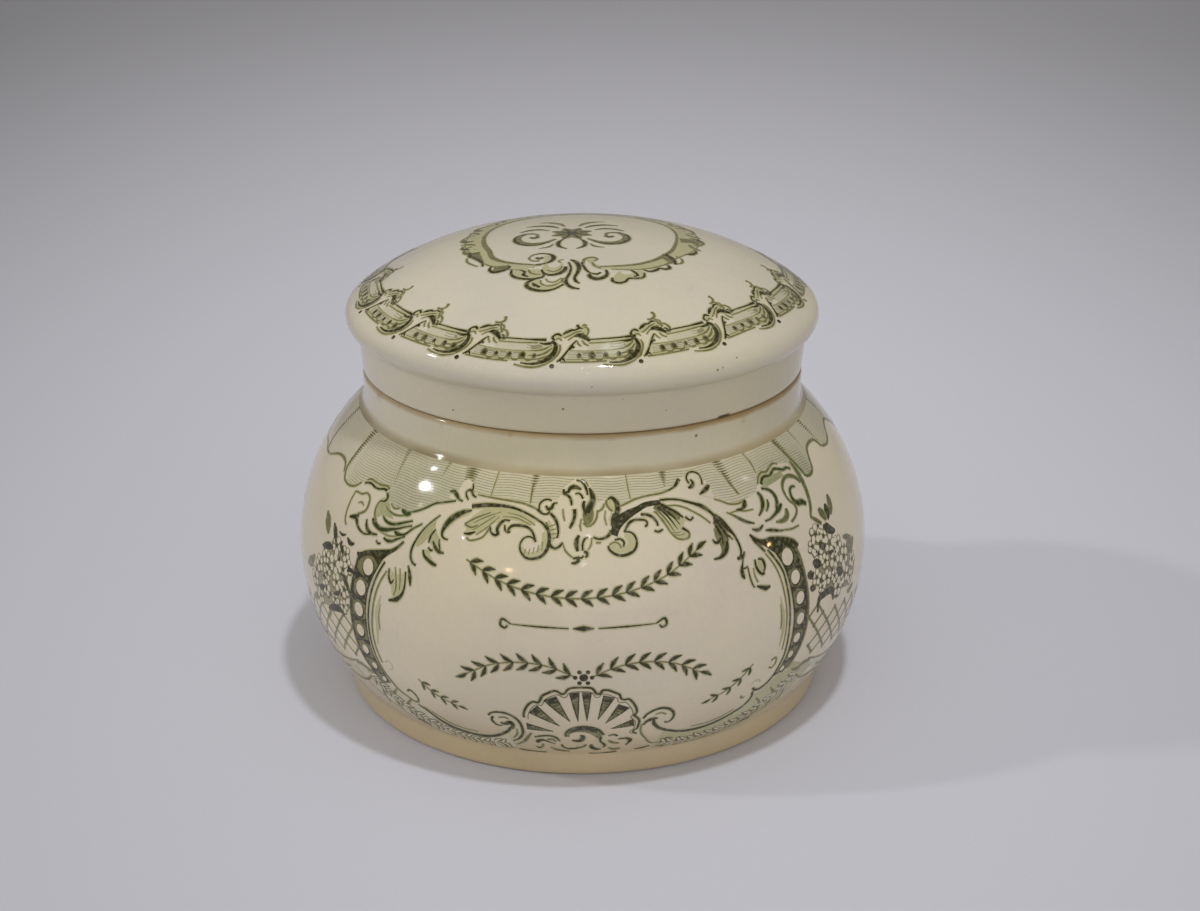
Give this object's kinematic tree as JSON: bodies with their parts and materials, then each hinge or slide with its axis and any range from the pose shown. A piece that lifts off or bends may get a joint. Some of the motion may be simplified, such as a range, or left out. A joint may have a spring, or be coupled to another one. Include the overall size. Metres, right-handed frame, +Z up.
{
  "type": "shaving cream pot",
  "caption": "Squat round earthenware pot with a swelling belly, a foot ring and a loose domed lid that sits over the mouth on a ledge.",
  "frame": {"origin": "centre of the foot ring's resting face", "axes": "+Z up along the pot's axis of revolution; the printed front faces -Y and +X is to its right"},
  "size_m": [0.1, 0.1, 0.0798],
  "materials": {
    "jar_glaze": "glossy crazed cream glaze with a dark olive printed ornament",
    "lid_glaze": "glossy crazed cream glaze with a dark olive printed ornament"
  },
  "bodies": {
    "jar": {"jar": "jar_glaze"},
    "lid": {"lid": "lid_glaze"}
  },
  "joints": [
    {"name": "lid_lift", "type": "slide", "parent": "jar", "child": "lid", "axis": [0, 0, 1], "range_m": [0, 0.06]}
  ]
}
